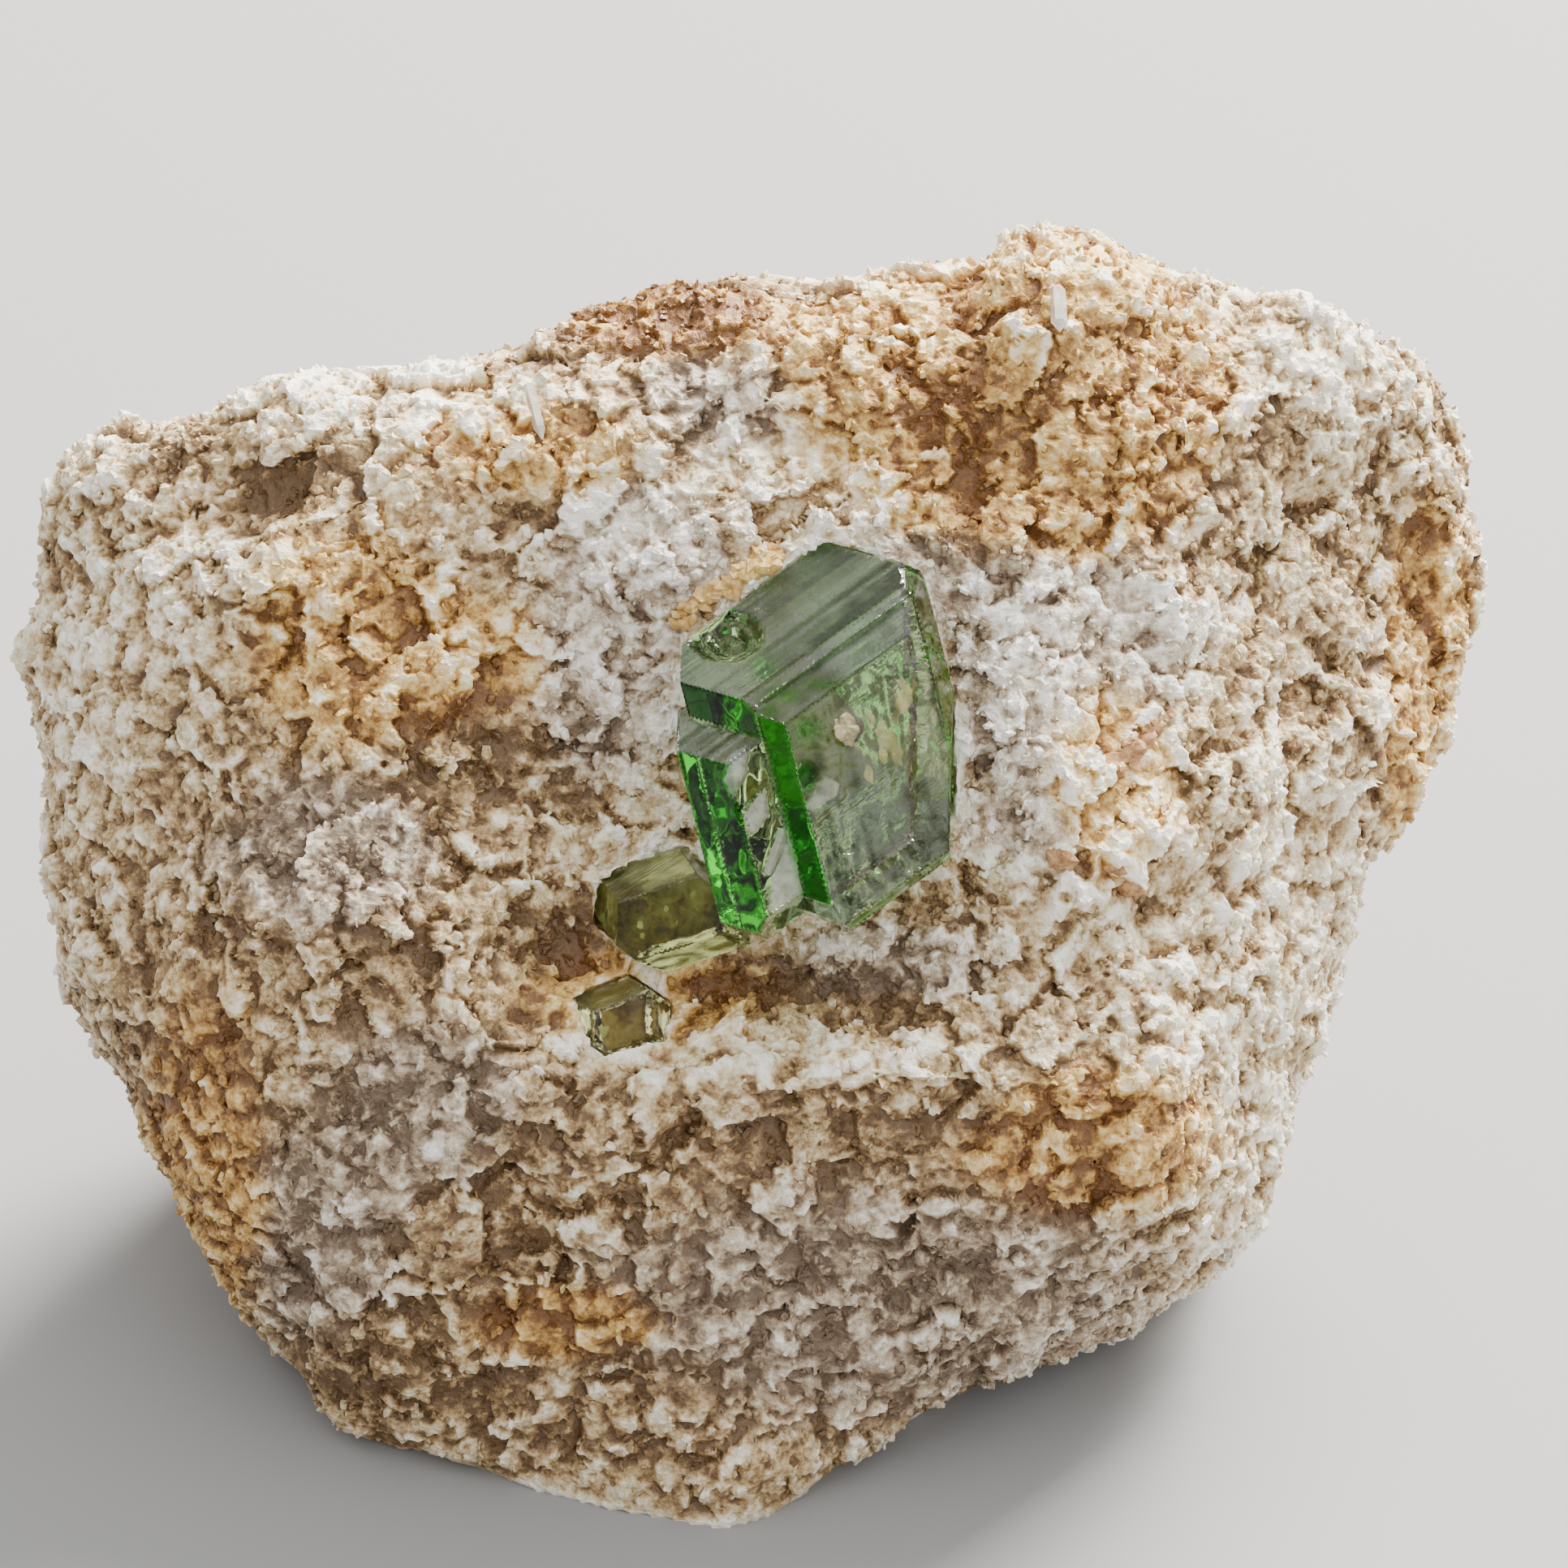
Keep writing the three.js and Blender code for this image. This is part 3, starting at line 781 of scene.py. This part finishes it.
# %% Demantoid: growth lines, etching, chips
roof_edge = local[zones["roof"] & zones["band"]]
push = np.zeros((len(places), 3))
# deep is painted shade: how far each point's tint goes to near black, in stripes along the growth lines and
# in streaks.
deep = np.zeros(len(places))
for name, normal in normals.items():
    chosen = np.nonzero(zones[name])[0]
    spot, x, z = local[chosen], across[chosen], up[chosen]
    lines = spot @ np.cross(normal, ZONE)
    depth = 0.012 * (1 + rough(spot, 0.35, 3))
    if name in ("roof", "band", "shelf"):
        from_edge = np.abs(lines - (roof_edge @ np.cross(normal, ZONE)).mean())
        step = np.interp(from_edge, [0, 1.8], [1, 0.2])
        saw = (lines + 0.35 * wave(lines, 1.3, 31)) / 0.5 % 1
        strength = 0.05 if name == "band" else 0.025
        depth += strength * (1 + wave(lines, 0.4, 1)) + 0.6 * strength * (1 + wave(lines, 0.16, 2))
        depth += 0.05 * step * saw
        stripe = wave(lines, 0.42, 21) + 0.6 * wave(lines, 0.16, 22) + 0.5 * rough(spot, 0.5, 23)
        # Painted shade: a dark band on the roof just above its edge with the band, darker to the right.
        dark = 0
        if name == "roof":
            dark = np.interp(from_edge, [0.06, 0.14, 0.45, 0.6], [0, 1, 1, 0])
            dark = dark * np.interp(x, [0.6, 2.2], [0, 1])
            dark += np.interp(x, [-0.5, 3.4], [-0.3, 0.6])
        deep[chosen] = np.clip(0.25 + 0.8 * stripe * (0.4 + 0.6 * step) + 0.6 * dark, 0, 0.92)
    elif name in ("window", "deep window"):
        depth += 0.09 * (1 + rough(spot, 0.6, 7)) + 0.045 * (1 + rough(spot, 0.24, 8))
        depth += 0.03 * (1 + wave(x + 0.1 * z, 0.14, 5))
        streaks = 0.7 * wave(x + 0.2 * z, 0.3, 24) + 0.8 * rough(spot, 0.7, 25)
        low_down = np.interp(z, [2.2, 3.2], [0.5, 0.15])
        streaks += wave(x + 0.35 * z, 0.11, 26) * low_down
        deep[chosen] = np.clip(streaks + 0.25 * (name == "deep window"), 0, 0.75)
    elif name.startswith("plate"):
        depth += 0.16 * (1 + rough(spot, 0.7, 17)) + 0.08 * (1 + rough(spot, 0.3, 19))
        deep[chosen] = np.clip(0.3 + 0.8 * rough(spot, 0.5, 27), 0, 0.7)
    elif name == "wedges":
        depth += 0.24 + 0.1 * rough(spot, 0.8, 9)
        for i, corners in enumerate(FACETS):
            flat = within(x, z, corners)
            tilt = 0.06 * (x - corners[0][0]) + 0.05 * (z - corners[0][1]) * (-1) ** i
            depth[flat] = 0.04 + np.abs(tilt[flat]) + 0.015 * (1 + wave(z, 0.12, 40 + i)[flat])
    else:
        depth += 0.03 * (1 + rough(spot, 0.7, 11))
    for middle, level, wide, tall, most in DENTS:
        reach = ((x - middle) / wide) ** 2 + ((z - level) / tall) ** 2
        ripple = 1 + 0.25 * np.sin(14 * reach) * (most > 0.2)
        depth += most * np.clip(1 - reach, 0, 1) * ripple
    push[chosen] -= normal * depth[:, None]
places += push @ np.array(CRYSTAL_TURN).T * MM
move_points(demantoid.data, places)
print("deepest relief:", round(float(np.linalg.norm(push, axis=1).max()), 2), "mm")

# %% [markdown]
# Seen closely, a garnet isn't one green. Its satin faces look grey, light that bounced inside leaves by a few
# faces as emerald, others look nearly black, and edges and broken facets glint silver. Here that light and
# shade are painted into the tint of one material: each point of the mesh stores its share of painted sheen,
# glow, shade and glint. The two small crystals are plainer and get faint etching only.

# %% Demantoid: where it is satin, and where sheen, glow, glint or near-black shade is painted
# Soft spots where a painted green glow shows through the grey, and one pocket painted dark.
# Each is across, up, radius across, radius up.
GLOWS = [
    (0.3, 6.5, 0.55, 0.5), (0.45, 5.2, 0.45, 0.35), (0.9, 5.7, 0.8, 0.35), (2.0, 6.0, 0.9, 0.3),
    (1.6, 4.6, 0.5, 0.5), (1.4, 3.2, 0.3, 0.45),
]
POCKET = (1.64, 3.2, 0.27, 0.4)
# Painted glow: the left faces, the strip and the lower left crystal are tinted emerald, as light bounced
# inside would leave them.
emerald = (zones["left"] | zones["strip"] | zones["lower left"]).astype(float)
satin = zones["roof"] | zones["band"] | zones["shelf"]
windows = zones["window"] | zones["deep window"]
glow = spots(across, up, GLOWS) * (satin | windows)
x, z, wide, tall, _ = BIG_CHIP
chip = ((across - x) / wide) ** 2 + ((up - z) / tall) ** 2 < 1
deep *= (1 - 0.8 * glow) * np.where(chip, 0.6, 1.0)
# Painted shade: the left face, the lower left crystal and the pocket are tinted towards near black.
deep += zones["left"] * np.interp(across, [-1.0, -0.3], [1, 0])
deep += zones["lower left"] * np.interp(up, [0.6, 1.8], [0, 0.6])
pocket = np.clip(1.7 * spots(across, up, [POCKET]), 0, 1) * windows
deep += 0.6 * pocket
silver = np.any([within(across, up, corners) for corners in FACETS], axis=0)
silver &= zones["wedges"] | zones["lower left"] | windows
# Painted glint: edges between faces and the broken facets get a pale silver tint and more shine.
corner = np.sum(list(zones.values()), axis=0) > 1
painted_glint = corner * np.clip(0.5 + rough(local, 0.5, 33), 0, 1)
painted_glint = np.maximum(painted_glint, silver * np.clip(0.8 + 0.5 * rough(local, 0.3, 35), 0, 1))
store(demantoid.data, "painted_glint", painted_glint)
store(demantoid.data, "emerald", np.maximum(np.maximum(emerald, 0.9 * glow), pocket))
# Painted sheen: the satin faces are tinted grey, less on the chip and the glow spots.
store(demantoid.data, "painted_sheen", satin * np.where(chip, 0.5, 1.0) * (1 - 0.8 * glow))
store(demantoid.data, "deep", np.clip(deep, 0, 1))
polished = np.maximum(0.9 * glow, pocket)
store(demantoid.data, "satin", (satin * np.where(chip, 0.1, 1.0) + 0.65 * windows) * (1 - polished))
print("silver share:", round(float(silver.mean()), 3), "worn share:", round(float((painted_glint > 0.3).mean()), 3))

# %% Olive and pale crystals: faint etching
for crystal in (olive, pale):
    places = points_of(crystal.data)
    etched = 0.02 * MM * (1 + rough(places / MM, 0.5, 5))
    normals = np.array([v.normal for v in crystal.data.vertices])
    move_points(crystal.data, places - normals * etched[:, None])
    for name in ("emerald", "painted_sheen", "deep", "painted_glint"):
        store(crystal.data, name, np.zeros(len(places)))
    store(crystal.data, "satin", np.where(normals[:, 2] > 0.8, 0.6, 0.1))
SHARP_ANGLE = math.radians(24)
for crystal in fine_crystals:
    crystal.data.shade_smooth()
    crystal.data.set_sharp_from_angle(angle=SHARP_ANGLE)
print("etched:", olive.name, pale.name)

# %% [markdown]
# The demantoid is clear: light goes in, is bent strongly (its refractive index is 1.88) and loses red and
# blue on its way, so thick parts are deep green. That is plain transmission with absorption in the volume.
# A painted green would look like plastic. How strongly a face mirrors its surroundings is set by its specular
# tint, because on a clear surface the specular level has no say.

# %% Crystals: materials


def garnet(name, colour, edge, sheen_grey, absorbed, density, shine):
    """Clear garnet: a veiled body colour, painted light on some faces, growth lines on the satin ones."""
    material, tree, surface = shader(name)
    in_mm = shaded_place(tree)
    veil = tree_noise(tree, in_mm, 1.1, 2.0)
    tint = mix(tree, between(tree, veil, -0.5, 0.6), colour[0], colour[1])
    # Painted light in the tint: emerald glow, grey sheen, near-black shade and pale glints.
    tint = mix(tree, weight_of(tree, "emerald"), tint, edge)
    tint = mix(tree, weight_of(tree, "painted_sheen"), tint, sheen_grey)
    tint = mix(tree, weight_of(tree, "deep"), tint, (0.0001, 0.002, 0.0001))
    painted_glint = weight_of(tree, "painted_glint")
    tint = mix(tree, calc(tree, "MULTIPLY", painted_glint, 0.7), tint, (0.86, 0.92, 0.8))
    satin = weight_of(tree, "satin")
    scuff = between(tree, tree_noise(tree, in_mm, 0.4, 1.0), -0.4, 0.6)
    haze = calc(tree, "MULTIPLY_ADD", scuff, 0.2, 0.14)
    haze = calc(tree, "MULTIPLY_ADD", satin, haze, calc(tree, "MULTIPLY_ADD", painted_glint, 0.2, 0.04))
    zone = tuple(CRYSTAL_TURN @ Vector(ZONE))
    back = calc(tree, "MULTIPLY", vector_calc(tree, "DOT_PRODUCT", in_mm, zone), -0.95)
    squeezed = vector_calc(tree, "ADD", in_mm, scaled(tree, zone, back))
    lines = tree_noise(tree, squeezed, 0.14, 2.0)
    speck = tree_noise(tree, in_mm, 0.06, 1.0)
    height = calc(tree, "MULTIPLY_ADD", speck, 0.4, lines)
    gloss = calc(tree, "MULTIPLY", satin, calc(tree, "MULTIPLY_ADD", weight_of(tree, "deep"), -0.9, 1.0))
    gloss = calc(tree, "MAXIMUM", gloss, painted_glint)
    fill(tree, surface, {
        "Base Color": tint, "Roughness": haze, "Normal": bumped(tree, satin, 0.02, height),
        "Transmission Weight": 1.0, "IOR": 1.88,
        "Specular Tint": mix(tree, gloss, (0.1, 0.1, 0.1), (shine, shine, shine)),
    })
    depth = add(tree, "ShaderNodeVolumeAbsorption", {"Color": (*absorbed, 1), "Density": density})
    tree.links.new(depth.outputs[0], tree.nodes["Material Output"].inputs["Volume"])
    return material


# Each crystal's two body colours, painted glow and sheen colours, absorbed colour, its density, and its
# shine.
GARNETS = [
    (
        demantoid, "demantoid", [(0.57, 0.49, 0.34), (1.0, 0.9, 0.72)], (0.02, 1.0, 0.01), (0.36, 0.38, 0.44),
        (0.52, 0.82, 0.4), 110.0, 0.85,
    ),
    (
        olive, "olive garnet", [(0.5, 0.54, 0.26), (0.95, 0.97, 0.56)], (0.3, 0.3, 0.1), (0.3, 0.3, 0.2),
        (0.6, 0.64, 0.34), 230.0, 0.8,
    ),
    (
        pale, "pale garnet", [(0.68, 0.67, 0.38), (1.0, 0.98, 0.68)], (0.6, 0.6, 0.3), (0.5, 0.5, 0.3),
        (0.78, 0.8, 0.48), 160.0, 0.8,
    ),
]
for crystal, *recipe in GARNETS:
    crystal.data.materials.append(garnet(*recipe))
print("garnet materials made")

# %% [markdown]
# A few small things catch the eye: a beige grain stuck on the window face, pale flaws and silver cracks
# inside the crystals, a chain of rusty grains, amber grains along the crystal's upper seam, and two little
# quartz prisms. Each is set where it is seen: a line of sight is followed to the surface, and the piece is
# placed at the hit, which is surer than working out its coordinates.

# %% Small things: surfaces to place them on, and how they are made
rock_tree = tree_of(rock)
crystal_skins = [tree_of(crystal) for crystal in fine_crystals]
crystal_tree = crystal_skins[0]


def prism(work, place, direction, radius, length):
    """A six-sided quartz prism with a pointed end."""
    turn = direction.to_track_quat("Z", "Y").to_matrix()
    rings = [(radius, 0), (radius * 0.96, 0.78 * length), (radius * 0.08, length)]
    corners = []
    for reach, level in rings:
        for i in range(6):
            angle = math.tau * i / 6
            spot = Vector((reach * math.cos(angle), reach * math.sin(angle), level)) * MM
            corners.append(work.verts.new(place + turn @ spot))
    work.faces.new(corners[5::-1])
    work.faces.new(corners[12:18])
    for ring in (0, 6):
        for i in range(6):
            j = (i + 1) % 6
            side = (ring + i, ring + j, ring + 6 + j, ring + 6 + i)
            work.faces.new([corners[k] for k in side])


def speckled(name, dark, light, roughness, clear=0.0):
    """Grain material: two colours in fine noise, partly clear where asked."""
    material, tree, surface = shader(name)
    pattern = tree_noise(tree, shaded_place(tree), 0.3, 5.0, 0.7)
    fill(tree, surface, {
        "Base Color": mix(tree, between(tree, pattern, -0.5, 0.5), dark, light),
        "Normal": bumped(tree, 0.6, 0.04, pattern), "Roughness": roughness,
        "Transmission Weight": clear, "IOR": 1.55,
    })
    return material


def finished(name, work, material):
    """The work as a piece with its faces outwards."""
    bmesh.ops.recalc_face_normals(work, faces=work.faces)
    obj = object_of(name, work)
    obj.data.materials.append(material)
    print(name, triangle_count(obj), "triangles")
    return obj


print("surfaces to place things on:", 1 + len(crystal_skins))

# %% Small things: rusty grains and the amber seam
# Places on the face: across, up, width. The seam is a line of places.
RUSTY = [
    (10.9, 3.5, 0.45), (11.25, 3.75, 0.4), (11.6, 4.0, 0.45), (11.95, 4.3, 0.36), (12.3, 4.75, 0.32),
    (11.5, 3.6, 0.3), (12.6, 5.1, 0.26), (9.3, 0.65, 0.5), (11.3, -0.1, 0.56), (11.0, 0.3, 0.3),
    (12.0, 4.6, 0.26), (11.3, 4.1, 0.24),
]
SEAM = [(-2.4, 7.9), (-1.5, 8.6), (-0.7, 9.1), (0.1, 9.55), (0.75, 9.95)]
SEAM_GRAINS = 60

rust = speckled("rust", (0.2, 0.075, 0.02), (0.62, 0.36, 0.16), 0.55)
rusty_work = bmesh.new()
for i, (x, z, width) in enumerate(RUSTY):
    place, normal = seen(rock_tree, x, z)
    broken_ball(rusty_work, place, normal, (width, width * 0.8, width * 0.6), i)
rusty = finished("rusty_grains", rusty_work, rust)

amber = speckled("amber", (0.42, 0.2, 0.03), (0.84, 0.62, 0.24), 0.3)
seam_work = bmesh.new()
for i in range(SEAM_GRAINS):
    first, last = SEAM[i % 4], SEAM[i % 4 + 1]
    share = (i * 0.618) % 1
    drift = 0.45 * noise.noise(Vector((i * 3.7, 0.5, 0)))
    x = first[0] + (last[0] - first[0]) * share - 0.5 * drift
    z = first[1] + (last[1] - first[1]) * share + drift
    place, normal = seen(rock_tree, x, z)
    width = 0.25 + 0.16 * noise.noise(Vector((0.5, i * 2.3, 0)))
    raised_place = place + normal * 0.08 * MM
    broken_ball(seam_work, raised_place, normal, (width, width * 0.8, width * 0.7), 20 + i, 1)
amber_seam = finished("amber_seam", seam_work, amber)

# %% Small things: the stuck grain, flaws and silver cracks
# The grain's place, then the flaws: across, up, width. The last six are in the small crystals.
STUCK = (2.85, 4.6)
FLAWS = [
    (4.15, 4.25, 0.5), (4.35, 3.8, 0.4), (3.95, 3.75, 0.3), (4.55, 5.4, 0.42), (4.3, 5.0, 0.3),
    (4.75, 5.9, 0.3), (3.6, 4.9, 0.24), (4.7, 4.6, 0.3), (3.5, 3.2, 0.26), (2.05, 2.75, 0.36),
    (3.9, 4.55, 0.3), (-2.73, -0.85, 0.12), (-3.49, -1.34, 0.16), (-1.9, -0.43, 0.12),
    (-3.45, -1.7, 0.14), (-2.4, -1.3, 0.1), (-4.6, -4.6, 0.26),
]
CRACK_DEPTHS = (0.3, 0.34)

beige = speckled("beige grain", (0.1, 0.08, 0.035), (0.33, 0.29, 0.15), 0.55)
stuck_work = bmesh.new()
place, normal = seen(crystal_tree, *STUCK)
broken_ball(stuck_work, place - normal * 0.02 * MM, normal, (0.48, 0.44, 0.15), 40, 4, 0.5)
stuck = finished("window_grain", stuck_work, beige)

pale_yellow = speckled("flaw", (0.74, 0.82, 0.24), (0.97, 1.0, 0.6), 0.3)
# Without a set seed, the noise vectors would lean the flaws anew on every run.
noise.seed_set(1)
flaw_work = bmesh.new()
for i, (x, z, width) in enumerate(FLAWS):
    hits = [hit for hit in (seen(tree, x, z) for tree in crystal_skins) if hit[0]]
    place, normal = min(hits, key=lambda hit: hit[0].dot(LOOK))
    lean = (normal + 0.5 * Vector(noise.noise_vector(Vector((i * 5.1, 0.3, 0))))).normalized()
    depth = 0.26 + 0.12 * noise.noise(Vector((i * 2.9, 0.7, 0)))
    size = (width * 0.55, width * 0.8, 0.06)
    broken_ball(flaw_work, place - normal * depth * MM, lean, size, 50 + i, 1, 1.3)
flaws = finished("pale_flaws", flaw_work, pale_yellow)

# Painted reflection: the cracks are near-white sheets that stand in for the silver a crack inside a crystal
# reflects.
silvery = speckled("silver crack", (0.42, 0.46, 0.4), (0.97, 0.98, 0.95), 0.3)
crack_work = bmesh.new()
for corners in FACETS:
    middle = np.mean(corners, axis=0)
    hits = [seen(crystal_tree, *(0.92 * np.array(c) + 0.08 * middle))[0] for c in corners]
    rings = []
    for depth in CRACK_DEPTHS:
        rings.append([crack_work.verts.new(place + LOOK * depth * MM) for place in hits])
    crack_work.faces.new(rings[0])
    crack_work.faces.new(rings[1][::-1])
    for i in range(len(corners)):
        j = (i + 1) % len(corners)
        crack_work.faces.new([rings[0][i], rings[1][i], rings[1][j], rings[0][j]])
cracks = finished("silver_cracks", crack_work, silvery)

# %% Small things: quartz prisms
# Across, up, heading on the face, radius, length.
PRISMS = [(9.2, 18.0, (0.05, -0.5, -0.9), 0.26, 1.5), (-6.9, 15.1, (0.25, -0.45, -0.95), 0.2, 1.9)]
quartz_look = speckled("quartz", (0.74, 0.68, 0.58), (0.94, 0.92, 0.88), 0.15, 0.6)
quartz_work = bmesh.new()
for x, z, heading, radius, length in PRISMS:
    place, _ = seen(rock_tree, x, z)
    prism(quartz_work, place, FACE_TURN @ Vector(heading), radius, length)
quartz = finished("quartz_prisms", quartz_work, quartz_look)
small_things = [rusty, amber_seam, stuck, flaws, cracks, quartz]

# %% [markdown]
# The rock has more triangles than one piece may have, so it is cut into a front and a back piece, with half
# of its faces each. Every finished piece is fixed to the one body of the row, and where it stands in for a
# CAD node, that node is hidden.

# %% Rock: a front and a back piece
middles = np.array([p.center for p in rock.data.polygons])
depths = face_places(middles)[2]
behind = depths < np.median(depths)
rock_back = new_object("matrix_rock_back", rock.data.copy())
for piece, gone in ((rock, behind), (rock_back, ~behind)):
    work = bmesh.new()
    work.from_mesh(piece.data)
    work.faces.ensure_lookup_table()
    bmesh.ops.delete(work, geom=[work.faces[i] for i in np.nonzero(gone)[0]], context="FACES")
    work.to_mesh(piece.data)
    work.free()
    print(piece.name, triangle_count(piece), "triangles")

# %% Pieces in the frame
PIECES = [
    (rock, "matrix", "matrix_rock"),
    (rock_back, None, "matrix_rock"),
    (demantoid, "demantoid_crystal", "demantoid"),
    (olive, "olive_crystal", "olive_garnet"),
    (pale, "pale_crystal", "pale_garnet"),
    *[(piece, None, "matrix_rock") for piece in crusts + small_things],
]
for obj, node, slot in PIECES:
    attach(obj, "root")
    if node:
        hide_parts(node)
print("triangles in all:", sum(triangle_count(obj) for obj, _, _ in PIECES))

# %% [markdown]
# A plain pale floor and soft studio light: one large lamp above and behind, one fill from the front and a
# pale surrounding, as for a specimen on a table. The camera looks square on to the crystal face.

# %% Stage, light and camera
floor_mesh = bpy.data.meshes.new("floor")
floor_mesh.from_pydata([(-3, -3, 0), (3, -3, 0), (3, 3, 0), (-3, 3, 0)], [], [(0, 1, 2, 3)])
floor = new_object("floor", floor_mesh)
floor_material, floor_tree, floor_surface = shader("pale floor")
fill(floor_tree, floor_surface, {"Base Color": (0.27, 0.27, 0.275, 1), "Roughness": 0.8})
floor_mesh.materials.append(floor_material)

world = bpy.data.worlds.new("studio")
world.use_nodes = True
sky = world.node_tree
direction = add(sky, "ShaderNodeTexCoord").outputs["Generated"]
upward = add(sky, "ShaderNodeSeparateXYZ", {0: direction}).outputs["Z"]
sky_colour = mix(sky, between(sky, upward, -0.1, 0.9), (0.2, 0.205, 0.21), (1.95, 1.93, 1.88))
sky.links.new(sky_colour, sky.nodes["Background"].inputs["Color"])
bpy.context.scene.world = world


def lamp(name, place, size, power, colour):
    """A soft square lamp that looks at the lump."""
    data = bpy.data.lights.new(name, "AREA")
    data.size = size
    data.energy = power
    data.color = colour
    obj = new_object(name, data)
    obj.location = place
    aim = Vector((0, 0, 0.015)) - obj.location
    obj.rotation_euler = aim.to_track_quat("-Z", "Y").to_euler()


lamp("key", (0.17, 0.25, 0.28), 0.24, 11.5, (1.0, 0.965, 0.89))
lamp("fill", (0.28, -0.36, 0.26), 0.4, 0.6, (1.0, 0.99, 0.97))

camera_data = bpy.data.cameras.new("camera")
camera_data.lens = 300.5
camera_data.sensor_width = 36
camera_data.clip_start = 0.01
camera = new_object("camera", camera_data)
camera.location = on_face(0.89, 2.95, 405)
camera.rotation_euler = (math.pi / 2 - LEAN, 0, 0)
bpy.context.scene.camera = camera
print("camera at", [round(v, 3) for v in camera.location])
